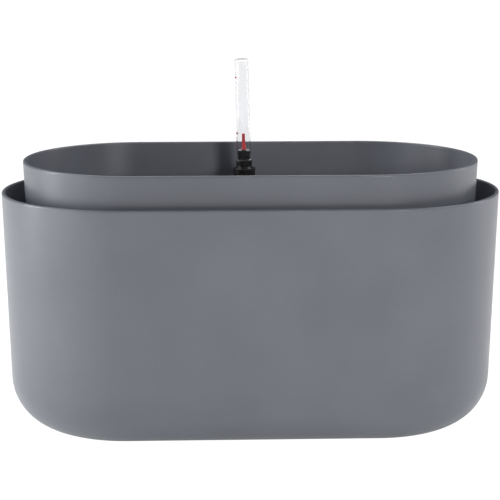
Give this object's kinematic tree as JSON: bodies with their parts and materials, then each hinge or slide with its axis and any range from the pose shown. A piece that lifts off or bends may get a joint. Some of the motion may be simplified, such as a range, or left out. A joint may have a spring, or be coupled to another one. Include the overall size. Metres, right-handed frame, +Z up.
{
  "type": "self-watering planter",
  "caption": "Oblong self-watering planter: outer water pot, lift-out growing pot on slotted wick wells, and a float water-level gauge in a clear tube.",
  "frame": {"origin": "on the surface the planter stands on, under the middle of the outer pot", "axes": "+X along the planter's long side, +Y towards its back, where the gauge stands, +Z up"},
  "size_m": [0.4, 0.2, 0.2923],
  "materials": {
    "slate_plastic": "moulded slate-grey plastic, fine matt grain",
    "dark_plastic": "moulded dark grey plastic, matt",
    "black_plastic": "moulded black plastic, satin",
    "clear_plastic": "clear moulded plastic, polished, with red level marks",
    "red_plastic": "moulded red plastic, satin",
    "pale_plastic": "drawn pale plastic rod",
    "foam": "closed-cell foam",
    "rubber": "moulded black rubber, matt"
  },
  "bodies": {
    "outer": {"outer_pot": "slate_plastic", "plug_seal": "rubber"},
    "plug": {"drain_plug": "rubber"},
    "growing_pot": {"liner": "slate_plastic", "wick_well_left": "dark_plastic", "wick_well_right": "dark_plastic", "gauge_socket": "rubber"},
    "gauge": {"gauge_housing": "black_plastic", "gauge_foot_cap": "black_plastic", "gauge_collar": "black_plastic"},
    "clear_tube": {"sight_tube": "clear_plastic"},
    "indicator": {"float": "foam", "float_rod": "pale_plastic", "float_clip": "black_plastic", "pointer": "red_plastic"}
  },
  "joints": [
    {"name": "liner_lift", "type": "slide", "parent": "outer", "child": "growing_pot", "axis": [0, 0, 1], "range_m": [0, 0.2]},
    {"name": "gauge_lift", "type": "slide", "parent": "growing_pot", "child": "gauge", "axis": [-0.0253, 0, 0.9997], "range_m": [0, 0.22]},
    {"name": "float_rise", "type": "slide", "parent": "gauge", "child": "indicator", "axis": [-0.0253, 0, 0.9997], "range_m": [0, 0.046]},
    {"name": "sight_tube_pull", "type": "slide", "parent": "gauge", "child": "clear_tube", "axis": [-0.0253, 0, 0.9997], "range_m": [0, 0.08]},
    {"name": "plug_lift", "type": "slide", "parent": "outer", "child": "plug", "axis": [0, 0, 1], "range_m": [0, 0.03]}
  ]
}
